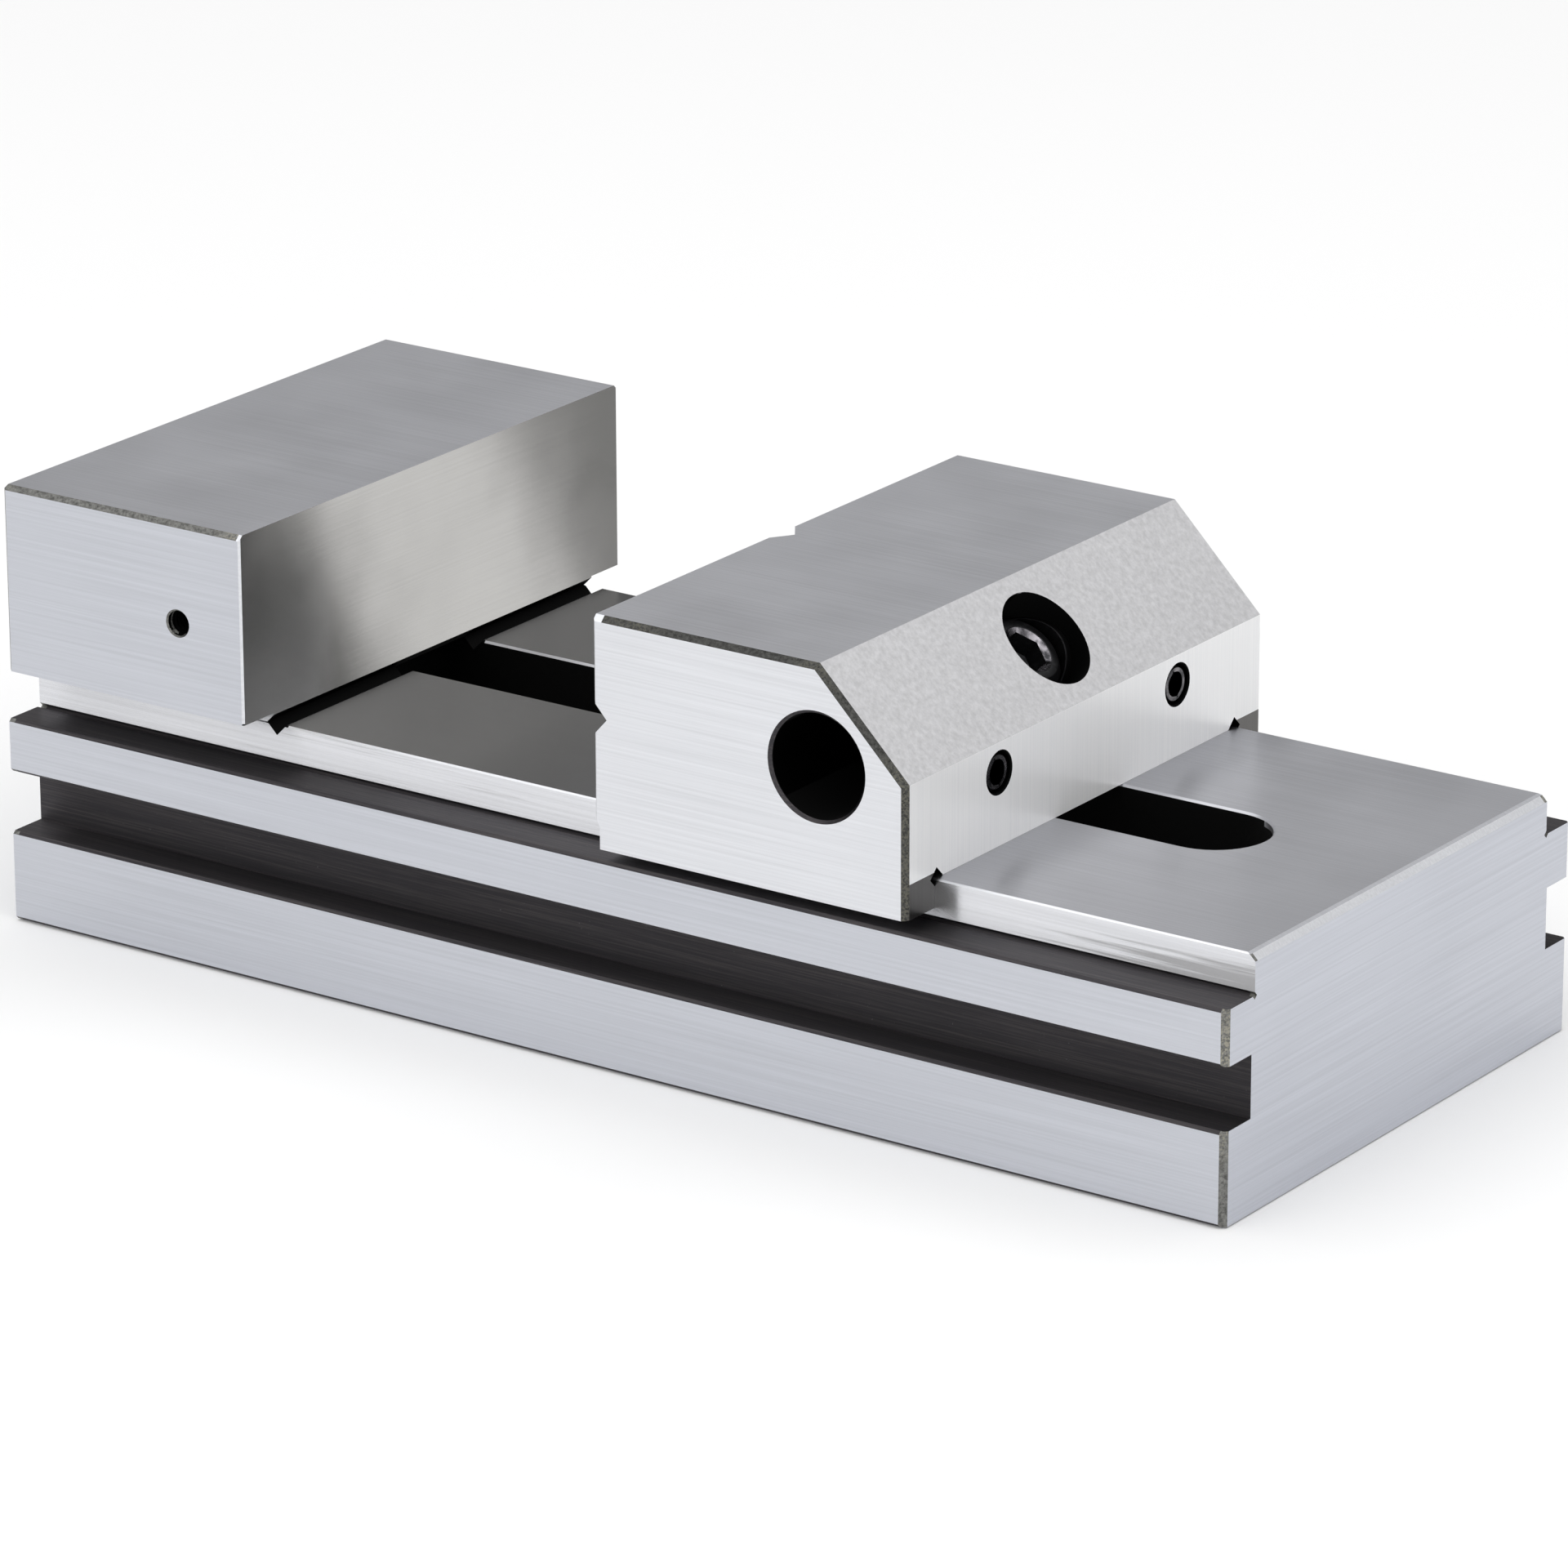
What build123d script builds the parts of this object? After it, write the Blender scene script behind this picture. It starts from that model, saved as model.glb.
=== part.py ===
from build123d import *
from math import cos, radians, sin, sqrt
import os

# Precision clamp: a screwless-style ground vice. A one-piece body carries the fixed jaw
# and a guide bed. The moving jaw straddles the bed. An inclined clamping screw hangs in a
# cross bolt inside that jaw and pulls a draw nut into saw-tooth notches under the bed, so
# it draws the jaw forward and down at once.
# Frame: millimetres, +X from the fixed jaw to the free end, +Z up, origin at the middle of
# the underside.

# Body, seen from its end
jaw_width = 120.0
flange_height = 18.2
groove_height = 12.2
groove_depth = 8.4
ridge_height = 10.8
ledge_width = 9.2
guide_height = 7.8
jaw_height = 39.5

# Fixed jaw
fixed_jaw_length = 58.0
jaw_lift = 2.0
relief_reach = 2.3
relief_inset = 0.6

# Bed slot and underside pocket
free_end_margin = 6.4
slot_end_margin = 6.4
slot_edge_break = 0.4
drum_side_gap = 1.0
trunnion_end_gap = 2.0
released_clearance = 1.4
pocket_overrun = 4.4
pocket_corner = 9.0

# Edge breaks of the body
edge_break = 0.6
corner_break = 1.2
bed_end_break = 1.4
jaw_break = 1.0
jaw_front_break = 0.4
foot_relief = 0.7

# Tapped holes for a work stop, one in each side of the fixed jaw
stop_hole_core = 2.5
stop_hole_depth = 13.0
stop_hole_mouth = 0.3
stop_hole_setback = 15.4
stop_hole_drop = 20.0

# Moving jaw
moving_jaw_length = 69.0
moving_jaw_break = 1.1
slope_size = 19.4
skirt_gap = 2.2
guide_clearance = 0.03
bed_clearance = 0.02
foot_setback = 1.1
foot_setback_height = 1.0
foot_bevel_height = 2.3
channel_relief_reach = 2.05
channel_relief_inset = 0.6
cross_vee_depth = 2.9
cross_vee_width = 6.4
upright_vee_depth = 2.9
upright_vee_width = 8.4

# Notches, and where the moving jaw stands along them
notch_pitch = 20.5
notches_to_closed = 4
notches_to_open = 3
closed_gap = 0.1

# Cross bolt and the bore that it turns in
bore_radius = 10.0
bore_mouth = 0.7
pivot_inset = 19.5
pivot_above_bed = 20.0
bolt_clearance = 0.03
bolt_collar = 3.0
bolt_end_break = 0.8
bolt_seat_gap = 0.75
bolt_groove_width = 6.0
bolt_groove_depth = 2.8
spring_seat_depth = 2.2
spring_seat_gap = 0.3

# Key hole in the slope
key_hole_radius = 10.1
slope_angle = 45.0

# Clamping screw, M10, with its swing in the jaw
rest_angle = 50.0
swing = 4.0
screw_radius = 4.97
screw_tail = 2.7
screw_tip_break = 1.0
head_radius = 8.0
head_height = 10.0
head_break = 1.3
head_seat_offset = 1.0
key_width = 8.0
key_depth = 5.0
key_entry_radius = 4.95
key_turn = 38.0
screw_hole_gap = 0.28
thread_pitch = 1.5
clamping_turns = 7.0
drawn_distance = 54.0

# Thrust washer
washer_gap = 0.45
washer_thickness = 1.6

# Spring round the screw
spring_wire = 1.2
spring_bore_gap = 0.43
spring_coils = 3.5
spring_end_gap = 0.05
passage_gap = 1.0

# Draw nut
drum_radius = 10.0
drum_length = 20.0
drum_flat_depth = 2.5
drum_break = 0.6
trunnion_radius = 5.0
trunnion_length = 15.0
trunnion_break = 0.6
notch_clearance = 0.3
nut_thread_clearance = 0.03

# Stop ring on the screw's tail
ring_thickness = 1.0
ring_radius = 7.2
ring_mouth = 2.4
ring_groove_depth = 0.35
ring_gap = 0.3
ring_clearance = 0.03

# Retaining screws, M8 with a dog point
retainer_radius = 3.97
retainer_spacing = 60.0
retainer_drop = 5.8
retainer_recess = 0.5
retainer_hole_clearance = 0.03
retainer_mouth = 0.3
retainer_key_width = 4.0
retainer_key_depth = 4.0
retainer_tip_radius = 2.75
retainer_tip_length = 4.0
retainer_tip_gap = 0.46
retainer_break = 0.6

# Levels
flange_top = flange_height
groove_top = flange_top + groove_height
ridge_top = groove_top + ridge_height
bed_top = ridge_top + guide_height
jaw_top = bed_top + jaw_height
overhang = bed_top + jaw_lift
half_width = jaw_width / 2
guide_half = half_width - ledge_width

# Stations along the body
rest_opening = notches_to_closed * notch_pitch + closed_gap
open_travel = notches_to_open * notch_pitch
body_length = fixed_jaw_length + rest_opening + open_travel + moving_jaw_length + free_end_margin
left_end = -body_length / 2
fixed_face = left_end + fixed_jaw_length
moving_face = fixed_face + rest_opening
moving_rear = moving_face + moving_jaw_length
pivot_x = moving_rear - pivot_inset
pivot_z = bed_top + pivot_above_bed
pivot = Vector(pivot_x, 0, pivot_z)

# The screw hangs at its steepest when at rest, and swings forward from there
shallow_angle = rest_angle - swing
screw_travel = clamping_turns * thread_pitch
released_distance = drawn_distance + screw_travel


def direction(angle):
    """The way from the cross bolt up along a screw at this angle to the bed."""
    return Vector(cos(radians(angle)), 0, sin(radians(angle)))


def below(angle, distance):
    """A point on the screw's axis, this far below the cross bolt's centre."""
    return pivot - direction(angle) * distance


def across(angle, distance):
    """A plane square to the screw's axis, this far above the cross bolt's centre."""
    return Plane(origin=below(angle, -distance), x_dir=(0, 1, 0), z_dir=direction(angle))


def flat(point):
    """The point's place in a sketch on the long middle plane."""
    return (point.X, point.Z)


screw_way = direction(rest_angle)
screw_axis = Axis(origin=pivot, direction=screw_way)
screw_profile_plane = Plane(origin=pivot, x_dir=screw_way, z_dir=(0, -1, 0))

# Radii and lengths that follow from the fits
bolt_radius = bore_radius - bolt_clearance
bolt_length = retainer_spacing + bolt_groove_width + 2 * bolt_collar
bolt_groove_floor = bolt_radius - bolt_groove_depth
bolt_seat_radius = head_radius + bolt_seat_gap
washer_radius = bolt_seat_radius - washer_gap
screw_hole_radius = screw_radius + screw_hole_gap
spring_mean_radius = screw_radius + spring_bore_gap + spring_wire / 2
spring_radius = spring_mean_radius + spring_wire / 2
spring_seat_radius = spring_radius + spring_seat_gap
passage_radius = spring_radius + passage_gap
drum_flat_offset = drum_radius - drum_flat_depth
notch_radius = trunnion_radius + notch_clearance
retainer_hole_radius = retainer_radius + retainer_hole_clearance
retainer_tip_edge = retainer_drop - retainer_tip_radius
retainer_reach = sqrt((bolt_groove_floor + retainer_tip_gap) ** 2 - retainer_tip_edge**2)
retainer_length = pivot_inset - retainer_recess - retainer_reach

# Places along the screw's axis, from the cross bolt's centre
head_top = head_height - head_seat_offset
seat_floor = -(head_seat_offset + washer_thickness)
spring_seat = -(bolt_radius - spring_seat_depth)
drum_top_face = -(released_distance - drum_flat_offset)
drum_lower_face = -(released_distance + drum_flat_offset)
ring_top = drum_lower_face - ring_gap
screw_tip = ring_top - ring_thickness - screw_tail

os.makedirs("parts", exist_ok=True)

# Body
slot_width = drum_length + 2 * drum_side_gap
pocket_width = drum_length + 2 * trunnion_length + 2 * trunnion_end_gap
drum_reach = below(shallow_angle, released_distance).X - drum_radius
bed_crossing = below(rest_angle, pivot_above_bed / screw_way.Z)
screw_reach = bed_crossing.X + screw_radius / screw_way.Z
slot_left = drum_reach - notches_to_closed * notch_pitch - slot_width / 2
slot_right = screw_reach + open_travel + slot_end_margin
slot_centre = (slot_left + slot_right) / 2
slot_length = slot_right - slot_left
pocket_height = below(shallow_angle, released_distance).Z + trunnion_radius + released_clearance
with BuildPart() as body:
    with BuildSketch(Plane.YZ.offset(left_end)):
        with BuildLine():
            Polyline(
                (0, 0),
                (half_width, 0),
                (half_width, flange_top),
                (half_width - groove_depth, flange_top),
                (half_width - groove_depth, groove_top),
                (half_width, groove_top),
                (half_width, ridge_top),
                (guide_half, ridge_top),
                (guide_half, bed_top),
                (0, bed_top),
            )
            mirror(about=Plane.YZ)
        make_face()
    extrude(amount=body_length)
    long_edges = body.edges().filter_by(Axis.X)
    chamfer(long_edges.filter_by(lambda e: abs(abs(e.center().Y) - half_width) < 0.01), length=edge_break)
    chamfer(long_edges.filter_by(lambda e: e.center().Z > bed_top - 0.01), length=edge_break / 2)
    end_edges = body.faces().sort_by(Axis.X)[-1].edges()
    chamfer(end_edges.filter_by(Axis.Y).sort_by(Axis.Z)[-1], length=bed_end_break)
    outer_corners = end_edges.filter_by(Axis.Z).filter_by(
        lambda e: abs(abs(e.center().Y) - half_width) < 0.01
    )
    chamfer(outer_corners, length=corner_break)

    # Relief at the foot of each guide wall
    with BuildSketch(Plane.YZ.offset(left_end)):
        with Locations((guide_half, ridge_top), (-guide_half, ridge_top)):
            Rectangle(foot_relief * sqrt(2), foot_relief * sqrt(2), rotation=45)
    extrude(amount=body_length, mode=Mode.SUBTRACT)

    # Fixed jaw, on a neck as wide as the bed
    with BuildSketch(Plane.XY.offset(bed_top)):
        with Locations((left_end + fixed_jaw_length / 2, 0)):
            Rectangle(fixed_jaw_length, 2 * guide_half)
    extrude(amount=jaw_lift)
    with BuildSketch(Plane.XY.offset(overhang)):
        with Locations((left_end + fixed_jaw_length / 2, 0)):
            Rectangle(fixed_jaw_length, jaw_width)
    extrude(amount=jaw_top - overhang)
    jaw_edges = body.edges().filter_by(lambda e: e.center().Z > overhang + 0.01)
    top_edges = jaw_edges.filter_by(lambda e: e.center().Z > jaw_top - 0.01)
    upright_edges = jaw_edges.filter_by(Axis.Z)
    chamfer(
        top_edges.filter_by(Axis.X)
        + top_edges.filter_by(Axis.Y).sort_by(Axis.X)[:1]
        + upright_edges.filter_by(lambda e: e.center().X < left_end + 0.01),
        length=jaw_break,
    )
    front_uprights = (
        body.edges()
        .filter_by(Axis.Z)
        .filter_by(lambda e: e.center().Z > overhang and abs(e.center().X - fixed_face) < 0.01)
    )
    chamfer(front_uprights, length=jaw_front_break)

    # Relief groove where the fixed jaw meets the bed
    with BuildSketch(Plane.XZ):
        with Locations((fixed_face + relief_inset, bed_top)):
            Rectangle(relief_reach * sqrt(2), relief_reach * sqrt(2), rotation=45)
    extrude(amount=guide_half, both=True, mode=Mode.SUBTRACT)

    # Slot through the bed, and the pocket under it
    with BuildSketch():
        with Locations((slot_centre, 0)):
            SlotOverall(slot_length, slot_width)
    extrude(amount=bed_top, mode=Mode.SUBTRACT)
    with BuildSketch():
        with Locations((slot_centre, 0)):
            RectangleRounded(slot_length + 2 * pocket_overrun, pocket_width, pocket_corner)
    extrude(amount=pocket_height, mode=Mode.SUBTRACT)
    relief_edge = fixed_face + relief_inset + relief_reach
    slot_mouth = body.edges().filter_by(
        lambda e: abs(e.center().Z - bed_top) < 0.01
        and abs(e.center().Y) < slot_width / 2 + 0.01
        and e.center().X > relief_edge + 0.01
    )
    chamfer(slot_mouth, length=slot_edge_break)

    # Saw-tooth notches: each holds the trunnions at both ends of the screw's swing
    notch_shifts = [notch_pitch * step for step in range(-notches_to_closed, notches_to_open + 1)]
    for shift in notch_shifts:
        seats = [
            below(shallow_angle, drawn_distance),
            below(rest_angle, drawn_distance),
            below(shallow_angle, released_distance),
        ]
        with BuildSketch(Plane.XZ):
            for seat in seats:
                with Locations((seat.X + shift, seat.Z)):
                    Circle(notch_radius)
            make_hull()
        extrude(amount=pocket_width / 2, both=True, mode=Mode.SUBTRACT)

    # Tapped stop holes
    stop_hole_x = fixed_face - stop_hole_setback
    stop_hole_z = jaw_top - stop_hole_drop
    for side in (-1, 1):
        mouth = Plane(origin=(stop_hole_x, side * half_width, stop_hole_z), z_dir=(0, side, 0))
        with BuildSketch(mouth):
            Circle(stop_hole_core)
        extrude(amount=-stop_hole_depth, mode=Mode.SUBTRACT)
        with BuildSketch(mouth):
            Circle(stop_hole_core + stop_hole_mouth)
        extrude(amount=-stop_hole_mouth, taper=45, mode=Mode.SUBTRACT)
body.part.label = "body"
export_step(body.part, "parts/body.step")

# Moving jaw
skirt_bottom = ridge_top + skirt_gap
slope_top_x = moving_rear - slope_size
slope_bottom_z = jaw_top - slope_size
jaw_seat = bed_top + bed_clearance
channel_half = guide_half + guide_clearance
foot_bevel_top = bed_top + foot_setback_height
cross_vee_z = (jaw_top + bed_top) / 2
retainer_z = pivot_z - retainer_drop
retainer_places = [(-retainer_spacing / 2, retainer_z), (retainer_spacing / 2, retainer_z)]
with BuildPart() as moving_jaw:
    with BuildSketch(Plane.XZ):
        with BuildLine():
            Polyline(
                (moving_face, jaw_top),
                (moving_face, foot_bevel_top),
                (moving_face + foot_setback, foot_bevel_top - foot_bevel_height),
                (moving_face + foot_setback, skirt_bottom),
                (moving_rear, skirt_bottom),
                (moving_rear, slope_bottom_z),
                (slope_top_x, jaw_top),
                close=True,
            )
        make_face()
    extrude(amount=half_width, both=True)
    side_edges = moving_jaw.edges().filter_by(lambda e: abs(abs(e.center().Y) - half_width) < 0.01)
    rear_side_edges = side_edges.filter_by(
        lambda e: e.center().X > moving_face + 2 * foot_setback and e.center().Z > skirt_bottom + 0.01
    )
    chamfer(rear_side_edges, length=moving_jaw_break)
    front_side_edges = (
        moving_jaw.edges()
        .filter_by(Axis.Z)
        .filter_by(lambda e: abs(e.center().X - moving_face) < 0.01)
    )
    chamfer(front_side_edges, length=jaw_front_break)

    # Channel over the bed, with a relief in each corner
    with BuildSketch(Plane.YZ.offset(moving_face)):
        with Locations((0, jaw_seat)):
            Rectangle(2 * channel_half, jaw_seat - skirt_bottom, align=(Align.CENTER, Align.MAX))
        relief_y = channel_half - channel_relief_inset
        with Locations((relief_y, jaw_seat), (-relief_y, jaw_seat)):
            Rectangle(channel_relief_reach * sqrt(2), channel_relief_reach * sqrt(2), rotation=45)
    extrude(amount=moving_jaw_length, mode=Mode.SUBTRACT)

    # Prism grooves in the working face: one along it and one upright
    with BuildSketch(Plane.XZ):
        with BuildLine():
            Polyline(
                (moving_face, cross_vee_z + cross_vee_width / 2),
                (moving_face + cross_vee_depth, cross_vee_z),
                (moving_face, cross_vee_z - cross_vee_width / 2),
                close=True,
            )
        make_face()
    extrude(amount=half_width, both=True, mode=Mode.SUBTRACT)
    with BuildSketch(Plane.XY.offset(jaw_top)):
        with BuildLine():
            Polyline(
                (moving_face, upright_vee_width / 2),
                (moving_face + upright_vee_depth, 0),
                (moving_face, -upright_vee_width / 2),
                close=True,
            )
        make_face()
    extrude(amount=-(jaw_top - skirt_bottom), mode=Mode.SUBTRACT)

    # Cross bore, key hole in the slope, and the passage for screw and spring
    with BuildSketch(Plane.XZ):
        with Locations(flat(pivot)):
            Circle(bore_radius)
    extrude(amount=half_width, both=True, mode=Mode.SUBTRACT)
    for side in (-1, 1):
        with BuildSketch(Plane(origin=(pivot_x, side * half_width, pivot_z), z_dir=(0, side, 0))):
            Circle(bore_radius + bore_mouth)
        extrude(amount=-bore_mouth, taper=45, mode=Mode.SUBTRACT)
    with BuildSketch(across(slope_angle, 0)):
        Circle(key_hole_radius)
    extrude(amount=2 * slope_size, mode=Mode.SUBTRACT)
    with BuildSketch(Plane.XZ):
        for angle in (rest_angle, shallow_angle):
            for distance in (bore_radius / 2, drawn_distance * 2 / 3):
                with Locations(flat(below(angle, distance))):
                    Circle(passage_radius)
        make_hull()
    extrude(amount=passage_radius, both=True, mode=Mode.SUBTRACT)

    # Tapped holes for the retaining screws
    with BuildSketch(Plane.YZ.offset(moving_rear)):
        with Locations(*retainer_places):
            Circle(retainer_hole_radius)
    extrude(amount=-pivot_inset, mode=Mode.SUBTRACT)
    with BuildSketch(Plane.YZ.offset(moving_rear)):
        with Locations(*retainer_places):
            Circle(retainer_hole_radius + retainer_mouth)
    extrude(amount=-retainer_mouth, taper=45, mode=Mode.SUBTRACT)
moving_jaw.part.label = "moving_jaw"
export_step(moving_jaw.part, "parts/moving_jaw.step")

# Cross bolt: a turned bar with a seat for the screw head and two retaining grooves
with BuildPart() as cross_bolt:
    with BuildSketch(Plane.XZ):
        with Locations(flat(pivot)):
            Circle(bolt_radius)
    extrude(amount=bolt_length / 2, both=True)
    chamfer(cross_bolt.edges().filter_by(GeomType.CIRCLE), length=bolt_end_break)
    for side in (-1, 1):
        with BuildSketch(Plane.XZ.offset(side * retainer_spacing / 2)):
            with Locations(flat(pivot)):
                Circle(bore_radius)
                Circle(bolt_groove_floor, mode=Mode.SUBTRACT)
        extrude(amount=bolt_groove_width / 2, both=True, mode=Mode.SUBTRACT)
    with BuildSketch(across(rest_angle, seat_floor)):
        Circle(bolt_seat_radius)
    extrude(amount=2 * bolt_radius, mode=Mode.SUBTRACT)
    with BuildSketch(across(rest_angle, seat_floor)):
        Circle(screw_hole_radius)
    extrude(amount=-2 * bolt_radius, mode=Mode.SUBTRACT)
    with BuildSketch(across(rest_angle, spring_seat)):
        Circle(spring_seat_radius)
    extrude(amount=-bolt_radius, mode=Mode.SUBTRACT)
cross_bolt.part.label = "cross_bolt"
export_step(cross_bolt.part, "parts/cross_bolt.step")

# Thrust washer under the screw head
with BuildPart() as thrust_washer:
    with BuildSketch(across(rest_angle, seat_floor)):
        Circle(washer_radius)
        Circle(screw_hole_radius, mode=Mode.SUBTRACT)
    extrude(amount=washer_thickness)
thrust_washer.part.label = "thrust_washer"
export_step(thrust_washer.part, "parts/thrust_washer.step")

# Clamping screw
ring_groove_radius = screw_radius - ring_groove_depth
with BuildPart() as clamping_screw:
    with BuildSketch(screw_profile_plane):
        with BuildLine():
            Polyline(
                (head_top, 0),
                (head_top, head_radius - head_break),
                (head_top - head_break, head_radius),
                (-head_seat_offset, head_radius),
                (-head_seat_offset, screw_radius),
                (ring_top, screw_radius),
                (ring_top, ring_groove_radius),
                (ring_top - ring_thickness, ring_groove_radius),
                (ring_top - ring_thickness, screw_radius),
                (screw_tip + screw_tip_break, screw_radius),
                (screw_tip, screw_radius - screw_tip_break),
                (screw_tip, 0),
                close=True,
            )
        make_face()
    revolve(axis=screw_axis)
    with BuildSketch(across(rest_angle, head_top)):
        RegularPolygon(key_width / 2, 6, major_radius=False, rotation=key_turn)
    extrude(amount=-key_depth, mode=Mode.SUBTRACT)
    with BuildSketch(across(rest_angle, head_top)):
        Circle(key_entry_radius)
    extrude(amount=-(key_entry_radius - key_width / 2), taper=45, mode=Mode.SUBTRACT)
clamping_screw.part.label = "clamping_screw"
export_step(clamping_screw.part, "parts/clamping_screw.step")

# Spring between the cross bolt and the draw nut, of square wire with ends ground flat
spring_top = spring_seat - spring_end_gap
spring_bottom = drum_top_face + spring_end_gap
spring_height = spring_top - spring_bottom
coil_pitch = spring_height / spring_coils
coil_start = across(rest_angle, spring_bottom - spring_wire / 2).origin
with BuildPart() as screw_spring:
    with BuildLine() as coil:
        Helix(
            pitch=coil_pitch,
            height=spring_height + spring_wire,
            radius=spring_mean_radius,
            center=coil_start,
            direction=screw_way,
        )
    with BuildSketch(Plane(coil.line @ 0, x_dir=coil.line @ 0 - coil_start, z_dir=coil.line % 0)):
        Rectangle(spring_wire, spring_wire)
    sweep(path=coil.line, is_frenet=True)
    split(bisect_by=across(rest_angle, spring_top), keep=Keep.BOTTOM)
    split(bisect_by=across(rest_angle, spring_bottom), keep=Keep.TOP)
screw_spring.part.label = "screw_spring"
export_step(screw_spring.part, "parts/screw_spring.step")

# Draw nut: a flatted drum with a trunnion each side
nut_centre = below(rest_angle, released_distance)
with BuildPart() as draw_nut:
    with BuildSketch(Plane.XZ):
        with Locations(flat(nut_centre)):
            Circle(drum_radius)
    extrude(amount=drum_length / 2, both=True)
    chamfer(draw_nut.edges().filter_by(GeomType.CIRCLE), length=drum_break)
    with BuildSketch(Plane.XZ):
        with Locations(flat(nut_centre)):
            Circle(trunnion_radius)
    extrude(amount=drum_length / 2 + trunnion_length, both=True)
    trunnion_ends = draw_nut.edges().filter_by(GeomType.CIRCLE).group_by(Axis.Y)
    chamfer(trunnion_ends[0] + trunnion_ends[-1], length=trunnion_break)
    for side in (-1, 1):
        with BuildSketch(across(rest_angle, -released_distance + side * drum_flat_offset)):
            Rectangle(drum_length, 2 * drum_radius)
        extrude(amount=side * drum_radius, mode=Mode.SUBTRACT)
    with BuildSketch(across(rest_angle, -released_distance)):
        Circle(screw_radius + nut_thread_clearance)
    extrude(amount=drum_radius, both=True, mode=Mode.SUBTRACT)
draw_nut.part.label = "draw_nut"
export_step(draw_nut.part, "parts/draw_nut.step")

# Stop ring in the groove at the screw's tail
ring_inner = ring_groove_radius + ring_clearance
ring_face = ring_top - ring_thickness / 2
with BuildPart() as stop_ring:
    with BuildSketch(across(rest_angle, ring_face)):
        Circle(ring_radius)
        Circle(ring_inner, mode=Mode.SUBTRACT)
        with Locations((0, ring_radius)):
            Rectangle(ring_mouth, 2 * ring_radius, mode=Mode.SUBTRACT)
    extrude(amount=ring_thickness / 2 - ring_clearance, both=True)
stop_ring.part.label = "stop_ring"
export_step(stop_ring.part, "parts/stop_ring.step")

# Retaining screws: their dog points run in the cross bolt's grooves
retainer_face = moving_rear - retainer_recess
with BuildPart() as retaining_screws:
    with BuildSketch(Plane.YZ.offset(retainer_face)):
        with Locations(*retainer_places):
            Circle(retainer_radius)
    extrude(amount=-(retainer_length - retainer_tip_length))
    face_rims = retaining_screws.edges().filter_by(GeomType.CIRCLE).group_by(Axis.X)[-1]
    chamfer(face_rims, length=retainer_break)
    with BuildSketch(Plane.YZ.offset(retainer_face - retainer_length + retainer_tip_length)):
        with Locations(*retainer_places):
            Circle(retainer_tip_radius)
    extrude(amount=-retainer_tip_length)
    with BuildSketch(Plane.YZ.offset(retainer_face)):
        with Locations(*retainer_places):
            RegularPolygon(retainer_key_width / 2, 6, major_radius=False)
    extrude(amount=-retainer_key_depth, mode=Mode.SUBTRACT)
retaining_screws.part.label = "retaining_screws"
export_step(retaining_screws.part, "parts/retaining_screws.step")
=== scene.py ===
"""Looks of a precision clamp: ground steel with painted light and shade on some faces, blackened grooves
with painted shade deep inside, threaded screws and a coil spring.
"""

import logging
import math
from dataclasses import dataclass
from enum import Enum
from functools import partial, reduce

import bmesh
import bpy
from mathutils import Matrix, Vector


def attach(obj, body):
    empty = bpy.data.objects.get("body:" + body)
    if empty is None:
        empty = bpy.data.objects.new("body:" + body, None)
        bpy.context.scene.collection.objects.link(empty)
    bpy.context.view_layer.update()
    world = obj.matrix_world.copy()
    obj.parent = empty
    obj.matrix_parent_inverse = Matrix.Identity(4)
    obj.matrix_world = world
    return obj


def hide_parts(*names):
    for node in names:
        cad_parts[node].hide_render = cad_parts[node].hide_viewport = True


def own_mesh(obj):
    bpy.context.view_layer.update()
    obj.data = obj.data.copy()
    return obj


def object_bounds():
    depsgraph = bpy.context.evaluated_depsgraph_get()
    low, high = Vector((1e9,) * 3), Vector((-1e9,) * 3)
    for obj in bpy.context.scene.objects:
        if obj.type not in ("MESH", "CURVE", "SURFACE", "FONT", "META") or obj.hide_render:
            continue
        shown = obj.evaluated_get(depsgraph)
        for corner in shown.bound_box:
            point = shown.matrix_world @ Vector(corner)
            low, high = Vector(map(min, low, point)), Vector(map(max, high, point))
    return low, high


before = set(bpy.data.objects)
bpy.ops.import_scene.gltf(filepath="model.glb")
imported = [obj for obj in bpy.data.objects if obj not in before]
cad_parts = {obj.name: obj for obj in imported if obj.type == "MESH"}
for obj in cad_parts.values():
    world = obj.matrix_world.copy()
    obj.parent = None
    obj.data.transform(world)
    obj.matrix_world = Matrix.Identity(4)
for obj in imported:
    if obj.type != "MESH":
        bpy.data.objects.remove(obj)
CAD_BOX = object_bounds()

log = logging.getLogger("precision_clamp")

MM = 0.001
END_X, SIDE_Y, TOP_Z = CAD_BOX[1]
BED_Z = 49.0 * MM
GUIDE_Y = 50.8 * MM
STOP_HOLE_X, STOP_HOLE_Z = -95.9 * MM, 68.5 * MM
REACH = 0.4 * MM
SQUARE = 0.9
THREAD_BITE = 0.05 * MM
PIVOT = Vector((51.1 * MM, 0.0, 69.0 * MM))
REST_ANGLE = math.radians(50.0)
SCREW_WAY = Vector((math.cos(REST_ANGLE), 0.0, math.sin(REST_ANGLE)))

Socket = bpy.types.NodeSocket
Input = float | tuple | Socket
Colour = tuple[float, float, float]
Pair = tuple[float, float]
Spot = tuple[float, float, float]
Triple = tuple[Socket, Socket, Socket]
Material = bpy.types.Material


class Lines(Enum):
    """The way in which the wheel left its lines on a face."""

    ALONG = "along the bed"
    ACROSS = "across the jaws"
    UPRIGHT = "upright"
    NONE = "an even grain"


def tinted(colour: Colour, share: float) -> Colour:
    """Returns a colour made darker or lighter."""
    return tuple(min(1.0, part * share) for part in colour)


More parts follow.
